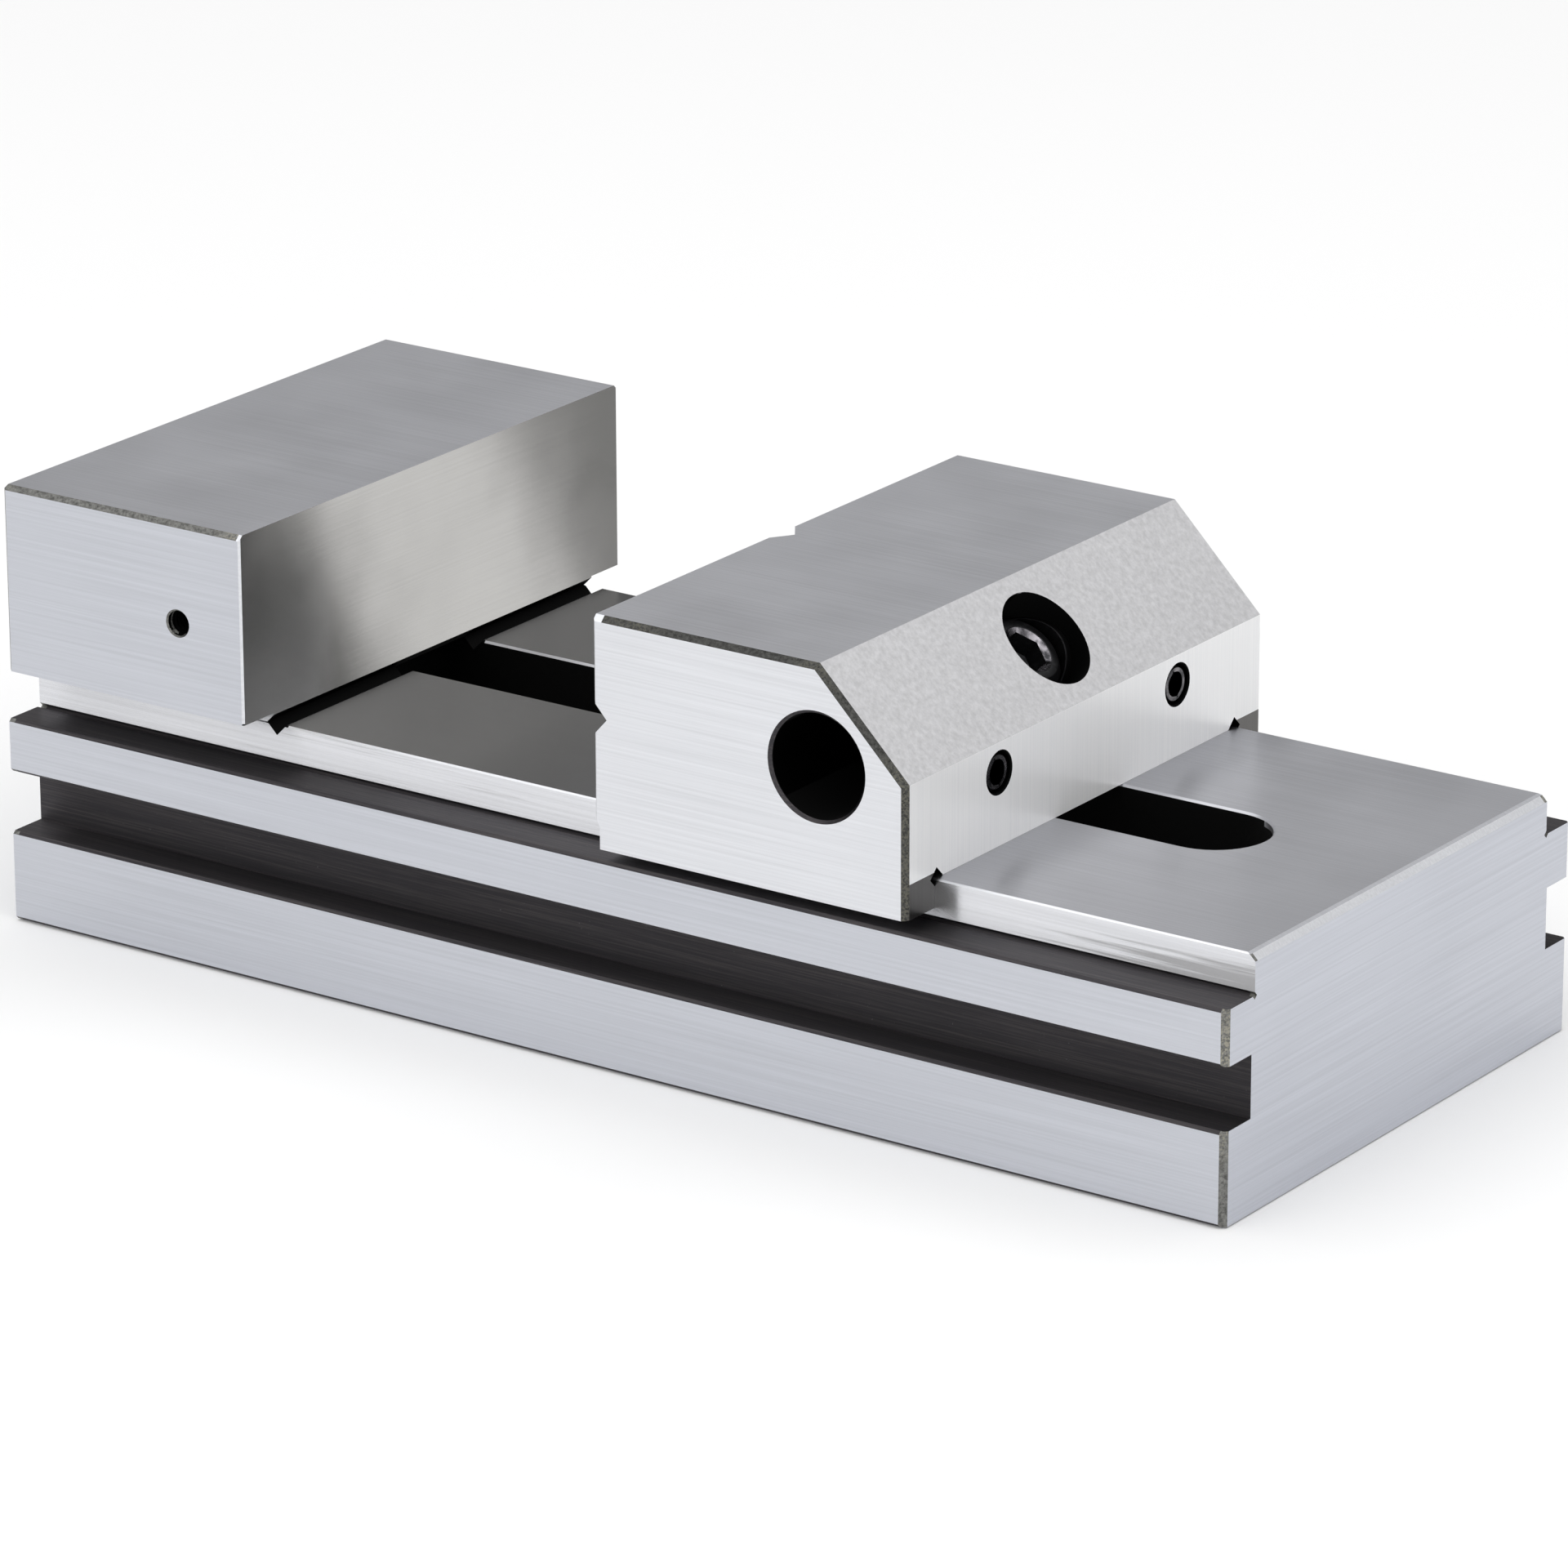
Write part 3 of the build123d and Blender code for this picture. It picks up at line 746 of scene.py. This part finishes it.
class Form:
    """A mesh in the making, with its axis along Z until it is placed."""

    def __init__(self, points: int = 96) -> None:
        """Starts an empty mesh, whose rings have that many points each."""
        self.bm = bmesh.new()
        self.points = points

    def circle(self, points: int, radius: float, place: Matrix) -> list:
        """Adds a circle at this place, and returns its points and then its edges."""
        made = bmesh.ops.create_circle(self.bm, segments=points, radius=radius, matrix=place)["verts"]
        return made + only_edges([edge for vert in made for edge in vert.link_edges])

    def ring(self, radius: float, height: float, sides: int = 0, turn: float = 0.0) -> list:
        """Adds a closed loop, round or with flat sides.

        Args:
            radius: The radius, to the corners where it has sides.
            height: Its height on the axis.
            sides: 0 for a circle, or the number of its sides.
            turn: How far it is turned, in radians.

        Returns:
            Its edges.
        """
        place = Matrix.Translation((0, 0, height)) @ Matrix.Rotation(turn, 4, "Z")
        edges = only_edges(self.circle(sides or self.points, radius, place))
        if sides:
            cut = bmesh.ops.subdivide_edges(self.bm, edges=edges, cuts=self.points // sides - 1)
            edges = only_edges(cut["geom"])
        return edges

    def rings(self, *outline: Pair) -> list:
        """Adds a circle for each radius and height."""
        return [self.ring(radius, height) for radius, height in outline]

    def close(self, loops: list) -> None:
        """Joins loops in their order from end to end, and closes the first and the last."""
        for first, second in zip(loops, loops[1:]):
            bmesh.ops.bridge_loops(self.bm, edges=first + second)
        self.cap(loops[0])
        self.cap(loops[-1])

    def cap(self, loop: list) -> None:
        """Closes a loop with one flat face."""
        bmesh.ops.edgeloop_fill(self.bm, edges=loop)

    def rub(self, first: list, second: list) -> None:
        """Gives the faces between two loops the piece's second finish.

        Args:
            first: The loop on one side of them.
            second: The loop on the other.
        """
        near, far = ({face for edge in loop for face in edge.link_faces} for loop in (first, second))
        for face in near & far:
            face.material_index = 1

    def spin(self, parts: list, rise: float, turns: float, steps: int) -> list:
        """Winds points and edges round the axis into a coil.

        Args:
            parts: What is wound.
            rise: How far it climbs in one turn.
            turns: How many turns it makes.
            steps: In how many steps.

        Returns:
            The points and edges at its end.
        """
        climb, angle = (0, 0, rise * turns / steps), turns * 2 * math.pi
        spun = bmesh.ops.spin(self.bm, geom=parts, axis=(0, 0, 1), dvec=climb, angle=angle, steps=steps)
        return spun["geom_last"]

    def ridge(
        self, radii: Pair, pitch: float, bottom: float, top: float, steps: int = 36, fade: float = 0.5
    ) -> None:
        """Adds a screw thread as one closed ridge that runs out at both ends.

        Args:
            radii: The radius of its foot, and that of its flat.
            pitch: The rise of one turn.
            bottom: Where it starts.
            top: Where it ends.
            steps: Steps in a turn.
            fade: Turns over which it runs out.
        """
        root, crest = radii
        turns = (top - bottom) / pitch - 1.0
        foot, flat = 0.86 * pitch, 0.16 * pitch
        low = bottom + (pitch - foot) / 2
        heights = (low, low + (foot - flat) / 2, low + (foot + flat) / 2, low + foot)
        others = set(self.bm.verts)
        points = [self.bm.verts.new((r, 0, z)) for r, z in zip((root, crest, crest, root), heights)]
        edges = [self.bm.edges.new((a, b)) for a, b in zip(points, points[1:] + points[:1])]
        last = self.spin(points + edges, pitch, turns, max(2, round(turns * steps)))
        self.cap(edges)
        self.cap(only_edges(last))
        middle = (root + crest) / 2
        run_out = pitch * (fade + 0.5)
        for vert in set(self.bm.verts) - others:
            away = math.hypot(vert.co.x, vert.co.y)
            if (away > middle) == (crest > root):
                share = min(1.0, (vert.co.z - bottom) / run_out, (top - vert.co.z) / run_out)
                set_radius(vert, root + (crest - root) * max(0.02, share))

    def done(self, name: str, place: Matrix, *materials: Material, angle: float = 32.0) -> bpy.types.Object:
        """Turns the mesh into a finished piece.

        Args:
            name: The piece's name.
            place: Where its axis goes.
            materials: Its finish, and a second one where it is rubbed.
            angle: Edges sharper than this, in degrees, stay sharp.

        Returns:
            The piece, at the origin with its place in its mesh.
        """
        bmesh.ops.remove_doubles(self.bm, verts=self.bm.verts, dist=1e-7)
        bmesh.ops.recalc_face_normals(self.bm, faces=self.bm.faces)
        bmesh.ops.transform(self.bm, matrix=place, verts=self.bm.verts)
        mesh = bpy.data.meshes.new(name)
        self.bm.to_mesh(mesh)
        self.bm.free()
        mesh.shade_smooth()
        mesh.set_sharp_from_angle(angle=math.radians(angle))
        for material in materials:
            mesh.materials.append(material)
        return add_object(name, mesh)


def along_screw() -> Matrix:
    """Returns the turn and place that lay a piece's Z axis along the screw, from the pivot up."""
    across = Vector((0, 1, 0))
    side = SCREW_WAY.cross(across)
    turn = Matrix((across, side, SCREW_WAY)).transposed().to_4x4()
    return Matrix.Translation(PIVOT) @ turn


def coat(node: str, material: Material) -> None:
    """Gives a node's CAD piece, whose shape stays, its one finish."""
    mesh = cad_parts[node].data
    mesh.materials.clear()
    mesh.materials.append(material)
    log.info("%s dressed", node)


@dataclass
class Body:
    """The one-piece body, which stays as the CAD has it, and the threads in its stop holes."""

    hole_depth: float = 12.5 * MM
    radii: Pair = (2.51 * MM, 2.26 * MM)
    pitch: float = 1.0 * MM
    mouth: float = 0.6 * MM

    def dress(self) -> None:
        """Gives the body its ground and blackened steel."""
        material = HardenedSteel().dress("ground_body_steel", BodyPlaces())
        coat("body", material)
        self.threads(material)

    def threads(self, material: Material) -> None:
        """Cuts the thread into the two stop holes, in the body's finish."""
        for side, name in ((-1, "stop_thread_near"), (1, "stop_thread_far")):
            form = Form()
            form.ridge(self.radii, self.pitch, -self.hole_depth, -self.mouth, steps=28)
            turn = Matrix.Rotation(-side * math.pi / 2, 4, "X")
            place = Matrix.Translation((STOP_HOLE_X, side * SIDE_Y, STOP_HOLE_Z)) @ turn
            piece = form.done(name, place, material)
            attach(piece, "vise_body")
            log.info("%s built", name)


@dataclass
class MovingJaw:
    """The jaw that straddles the bed, as the CAD has it, and its two retaining screws.

    The screws are socket set screws with a dog point, and their heights are counted from the socket's face.
    """

    screw_x: float = 70.1 * MM
    screw_z: float = 63.2 * MM
    spacing: float = 60.0 * MM
    length: float = 12.0 * MM
    radius: float = 3.97 * MM
    core: float = 3.3 * MM
    pitch: float = 1.25 * MM
    point_radius: float = 2.75 * MM
    point_length: float = 4.0 * MM
    chamfer: float = 0.4 * MM
    neck: float = 0.35 * MM
    face_break: float = 0.6 * MM
    key_width: float = 4.0 * MM
    key_depth: float = 4.0 * MM
    key_entry: Pair = (0.12 * MM, 0.3 * MM)

    def dress(self) -> None:
        """Gives the jaw its ground steel, and builds the retaining screws."""
        steel = HardenedSteel(scale=(0.08, 0.08, 0.076), rust=(0.16, 0.155, 0.13))
        coat("moving_jaw", steel.dress("ground_jaw_steel", JawPlaces()))
        black = BlackOxide().dress("black_oxide_small_screw")
        rubbed = WornEdge(colour=(0.22, 0.21, 0.22)).dress("rubbed_small_screw")
        pieces = [
            self.retaining_screw(name, side, black, rubbed)
            for side, name in ((-1, "retaining_screw_near"), (1, "retaining_screw_far"))
        ]
        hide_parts("retaining_screws")

    def retaining_screw(self, name: str, side: int, *materials: Material) -> bpy.types.Object:
        """Builds one retaining screw.

        Args:
            name: The piece's name.
            side: -1 for the near one, 1 for the far one.
            materials: Its black finish, and the rubbed one of its socket's edge.

        Returns:
            The piece.
        """
        form = Form(72)
        corner = hexagon_corner(self.key_width)
        tail = -self.length
        shoulder = tail + self.point_length
        widening, depth = self.key_entry
        loops = form.rings(
            (self.point_radius - self.chamfer, tail),
            (self.point_radius, tail + self.chamfer),
            (self.point_radius, shoulder - self.neck),
            (self.core, shoulder),
            (self.core, -self.face_break),
            (self.core - 0.04 * MM, -0.06 * MM),
            (self.core - 0.12 * MM, 0.0),
            (corner + widening, 0.0),
        )
        rubbed = loops[-2:]
        loops += [form.ring(corner, height, sides=6) for height in (-depth, -self.key_depth)]
        form.close(loops)
        form.rub(*rubbed)
        radii = self.core - THREAD_BITE, self.radius
        form.ridge(radii, self.pitch, shoulder + 0.1 * MM, -0.1 * MM, fade=0.35)
        turn = Matrix.Rotation(math.pi / 2, 4, "Y")
        place = Matrix.Translation((self.screw_x, side * self.spacing / 2, self.screw_z)) @ turn
        piece = form.done(name, place, *materials)
        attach(piece, "moving_jaw")
        log.info("%s built", name)
        return piece


@dataclass
class ClampingScrew:
    """The socket screw that hangs in the cross bolt, with its thread and knurled head.

    Its heights are counted from the cross bolt's axis.
    """

    head_top: float = 9.0 * MM
    head_radius: float = 8.0 * MM
    head_seat: float = -1.0 * MM
    head_break: float = 1.3 * MM
    knurl_start: float = 0.5 * MM
    knurl_gap: float = 0.9 * MM
    knurl_depth: float = 0.22 * MM
    plain: float = 0.02 * MM
    shank: float = 4.97 * MM
    core: float = 4.12 * MM
    pitch: float = 1.5 * MM
    thread_top: float = -44.0 * MM
    shoulder: Pair = (0.6 * MM, 0.9 * MM)
    tip: float = -76.0 * MM
    point: float = 1.0 * MM
    groove_top: float = -72.3 * MM
    groove_width: float = 1.0 * MM
    groove_radius: float = 4.62 * MM
    key_width: float = 8.0 * MM
    key_depth: float = 5.0 * MM
    key_start: float = 0.85 * MM
    drill_point: float = 0.9 * MM
    entry_radius: float = 5.25 * MM
    key_turn: float = 38.0

    def build(self) -> None:
        """Builds the screw."""
        form = Form()
        brow = self.head_top - self.head_break
        rim = self.head_radius - self.head_break
        knurl_low, knurl_high = self.head_seat + self.knurl_start, brow - self.knurl_gap
        stem = form.rings(
            (self.core - self.point, self.tip),
            (self.core, self.tip + self.point),
            (self.core, self.thread_top - self.shoulder[0]),
            (self.shank, self.thread_top + self.shoulder[1]),
            (self.shank, self.head_seat),
            (self.head_radius - 0.25 * MM, self.head_seat),
            (self.head_radius - self.plain, knurl_low - 0.2 * MM),
        )
        knurled = form.rings((self.head_radius, knurl_low), (self.head_radius, knurl_high))
        crown = form.rings(
            (self.head_radius - self.plain, knurl_high + 0.15 * MM),
            (self.head_radius - self.plain, brow),
            (rim + 0.12 * MM, self.head_top - 0.1 * MM),
            (rim - 0.1 * MM, self.head_top),
            (self.entry_radius + 0.06 * MM, self.head_top),
            (self.entry_radius - 0.08 * MM, self.head_top - 0.1 * MM),
        )
        corner, turn = hexagon_corner(self.key_width), math.radians(self.key_turn)
        depths = self.key_start, self.key_depth
        key = [form.ring(corner, self.head_top - depth, sides=6, turn=turn) for depth in depths]
        drilled = form.ring(corner / 2, self.head_top - self.key_depth - self.drill_point)
        form.close(stem + knurled + crown + key + [drilled])
        form.rub(crown[-1], key[0])
        self.knurl(form, knurled)
        radii = self.core - THREAD_BITE, self.shank
        form.ridge(radii, self.pitch, self.tip + 0.4 * MM, self.thread_top + 0.8 * MM)
        self.groove(form)
        finishes = BlackOxide().dress("black_oxide_screw"), WornEdge().dress("rubbed_socket_edge")
        piece = form.done("clamping_screw_threaded", along_screw(), *finishes)
        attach(piece, "clamping_screw")
        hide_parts("clamping_screw")
        log.info("clamping screw built")

    def knurl(self, form: Form, loops: list) -> None:
        """Presses every other point of the head's loops in.

        Args:
            form: The screw in the making.
            loops: The loops at the knurl's two ends.
        """
        for vert in {vert for loop in loops for edge in loop for vert in edge.verts}:
            step = round(math.atan2(vert.co.y, vert.co.x) / (2 * math.pi / form.points))
            set_radius(vert, self.head_radius - (self.knurl_depth if step % 2 else 0.0))

    def groove(self, form: Form) -> None:
        """Turns the stop ring's groove into the thread."""
        for vert in form.bm.verts:
            if self.groove_top - self.groove_width < vert.co.z < self.groove_top:
                set_radius(vert, min(self.groove_radius, math.hypot(vert.co.x, vert.co.y)))


@dataclass
class ScrewSpring:
    """The coil spring round the screw, with closed and ground ends."""

    wire: float = 1.2 * MM
    mean_radius: float = 6.0 * MM
    top: float = -7.82 * MM
    bottom: float = -56.95 * MM
    open_coils: float = 6.0
    travel: float = 10.5 * MM
    steps: int = 40

    def coil(self, form: Form) -> None:
        """Winds the wire in this form and closes its ends."""
        closed = self.wire * 1.02
        spare = self.wire * 0.25
        height = self.top - self.bottom + 2 * spare
        pitch = (height - 2 * closed) / self.open_coils
        place = Matrix.Translation((self.mean_radius, 0, self.bottom - spare))
        start = form.circle(12, self.wire / 2, place @ Matrix.Rotation(math.pi / 2, 4, "X"))
        parts = start
        for rise, turns in ((closed, 1.0), (pitch, self.open_coils), (closed, 1.0)):
            parts = form.spin(parts, rise, turns, round(turns * self.steps))
        form.cap(only_edges(start))
        form.cap(only_edges(parts))

    def grind(self, form: Form) -> None:
        """Grinds both ends of the form's coil flat."""
        for height, way in ((self.bottom, -1), (self.top, 1)):
            parts = form.bm.verts[:] + form.bm.edges[:] + form.bm.faces[:]
            plane = {"plane_co": (0, 0, height), "plane_no": (0, 0, way)}
            cut = bmesh.ops.bisect_plane(form.bm, geom=parts, clear_outer=True, **plane)
            rim = [edge for edge in only_edges(cut["geom_cut"]) if edge.is_boundary]
            bmesh.ops.holes_fill(form.bm, edges=rim, sides=0)

    def build(self) -> None:
        """Builds the spring."""
        form = Form()
        self.coil(form)
        self.grind(form)
        finish = TurnedSteel(colour=(0.32, 0.32, 0.33), roughness=0.25).dress("spring_wire_steel")
        piece = form.done("screw_spring_coiled", along_screw(), finish, angle=50.0)
        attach(piece, "cross_bolt")
        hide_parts("screw_spring")
        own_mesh(piece)
        log.info("spring built")


def dress_inner_pieces() -> None:
    """Gives the CAD pieces inside, whose shape stays, their finishes."""
    coat("cross_bolt", CrossBoltSteel(colour=(0.06, 0.058, 0.06)).dress("cross_bolt_steel"))
    coat("draw_nut", TurnedSteel(colour=(0.16, 0.16, 0.17)).dress("draw_nut_steel"))
    coat("thrust_washer", TurnedSteel(colour=(0.5, 0.5, 0.52)).dress("washer_steel"))
    coat("stop_ring", TurnedSteel(colour=(0.1, 0.1, 0.1)).dress("stop_ring_steel"))


@dataclass
class Studio:
    """Floor, world, lamp and camera.

    The room's tones depend on a ray's direction. Each rise is where along one axis a tone starts and where
    it is full. The corner's tones are such rises along y, each with its brightness.
    """

    floor_size: float = 40.0
    floor_colour: Colour = (0.92, 0.92, 0.92)
    floor_drop: float = 0.3 * MM
    floor_fade: Pair = (0.7, 1.6)
    footprint: Pair = (0.137, 0.0585)
    lamp_place: Spot = (0.1, -0.2, 1.4)
    lamp_size: float = 3.0
    lamp_power: float = 27.0
    camera_place: Spot = (0.859775, -1.220736, 0.566267)
    camera_right: Spot = (0.81877, 0.57411, -0.00306)
    camera_down: Spot = (0.1891, -0.27471, -0.94275)
    lens: float = 191.925
    sensor_width: float = 36.0
    clip: Pair = (0.01, 50.0)
    corner_start: float = 0.65
    corner_tone: float = 0.05
    corner_tones: tuple[Spot, ...] = ((0.739, 0.743, 0.13), (0.7445, 0.7475, 0.9), (0.7615, 0.7645, 0.27))
    wall_rise: Pair = (-0.4, 0.4)
    wall_tones: Pair = (0.25, 0.3)
    ceiling_rise: Pair = (0.45, 0.65)
    corner_ceiling_rise: Pair = (0.5, 0.6)
    ceiling_tone: float = 0.75
    back_rise: Pair = (-0.1, 0.3)
    front_tone: float = 0.8
    zenith_rise: Pair = (0.75, 0.92)
    zenith_tone: float = 0.4

    def paper(self) -> Material:
        """Makes the floor's paper.

        It is clear from below and lets light up to the clamp's underside, and far off it fades to
        plain white.

        Returns:
            The material.
        """
        r = Recipe("floor_paper")
        r.finish(self.floor_colour, 0.9, 0.0, **{"Specular IOR Level": 0.0})
        x, y, _ = r.split(r.place.outputs["Object"])
        ray = r.node("LightPath").outputs
        seen = r.either(ray["Is Camera Ray"], ray["Is Glossy Ray"], ray["Is Transmission Ray"])
        far = r.both(r.spread(r.away(x, y), *self.floor_fade), seen)
        covered = r.both(r.near(x, 0.0, self.footprint[0]), r.near(y, 0.0, self.footprint[1]))
        behind = r.node("NewGeometry").outputs["Backfacing"]
        open_part = r.either(behind, r.both(covered, r.other(ray["Is Camera Ray"])))
        surface = r.shader.outputs[0]
        for mask, kind in ((far, "Emission"), (open_part, "BsdfTransparent")):
            mix = {0: mask, 1: surface, 2: r.node(kind).outputs[0]}
            surface = r.node("MixShader", mix).outputs[0]
        r.feed(r.output.inputs["Surface"], surface)
        return r.material

    def floor(self) -> None:
        """Lays the pale floor."""
        bm = bmesh.new()
        bmesh.ops.create_grid(bm, x_segments=1, y_segments=1, size=self.floor_size / 2)
        bmesh.ops.translate(bm, verts=bm.verts, vec=(0, 0, -self.floor_drop))
        mesh = bpy.data.meshes.new("floor")
        bm.to_mesh(mesh)
        bm.free()
        mesh.materials.append(self.paper())
        floor = add_object("floor", mesh)

    def world(self) -> None:
        """Makes the room: bright in front and high up, a greyer wall, a dark corner with a pale strip."""
        world = bpy.data.worlds.new("studio")
        bpy.context.scene.world = world
        world.use_nodes = True
        n = Nodes(world.node_tree)
        x, y, z = n.split(n.place.outputs["Generated"])
        corner: Input = self.corner_tone
        for start, full, tone in self.corner_tones:
            corner = n.pick(n.spread(y, start, full), corner, tone)
        in_corner = n.both(n.above(x, 0.0), n.above(y, self.corner_start))
        wall = n.pick(in_corner, n.spread(x, *self.wall_rise, *self.wall_tones), corner)
        ceiling = n.pick(in_corner, n.spread(z, *self.ceiling_rise), n.spread(z, *self.corner_ceiling_rise))
        light = n.pick(ceiling, wall, self.ceiling_tone)
        light = n.pick(n.spread(y, *self.back_rise), self.front_tone, light)
        light = n.pick(n.spread(z, *self.zenith_rise), light, self.zenith_tone)
        room = n.node("Background", {"Color": n.join(light, light, light), "Strength": 1.0})
        n.node("OutputWorld", {"Surface": room.outputs[0]})

    def lamp(self) -> None:
        """Hangs the soft box over the clamp."""
        light = bpy.data.lights.new("soft_box_above", "AREA")
        light.shape = "RECTANGLE"
        light.size = light.size_y = self.lamp_size
        light.energy = self.lamp_power
        lamp = add_object("soft_box_above", light)
        turn = (-Vector(self.lamp_place)).to_track_quat("-Z", "Y").to_matrix().to_4x4()
        lamp.matrix_world = Matrix.Translation(self.lamp_place) @ turn

    def camera(self) -> None:
        """Sets the camera where the photograph was taken."""
        data = bpy.data.cameras.new("camera")
        data.lens = self.lens
        data.sensor_width = self.sensor_width
        data.sensor_fit = "HORIZONTAL"
        data.clip_start, data.clip_end = self.clip
        right, down = Vector(self.camera_right).normalized(), Vector(self.camera_down).normalized()
        ahead = right.cross(down).normalized()
        down = ahead.cross(right).normalized()
        turn = Matrix((right, -down, -ahead)).transposed().to_4x4()
        camera = add_object("camera", data)
        camera.matrix_world = Matrix.Translation(self.camera_place) @ turn
        bpy.context.scene.camera = camera

    def build(self) -> None:
        """Builds the whole studio."""
        bpy.context.scene.view_settings.view_transform = "Standard"
        self.camera()
        self.floor()
        self.world()
        self.lamp()
        log.info("studio built")


def main() -> None:
    """Builds and dresses the clamp, piece by piece."""
    logging.basicConfig(level=logging.INFO, format="%(name)s: %(message)s")
    Studio().build()
    Body().dress()
    MovingJaw().dress()
    ClampingScrew().build()
    ScrewSpring().build()
    dress_inner_pieces()


if __name__ == "__main__":
    main()
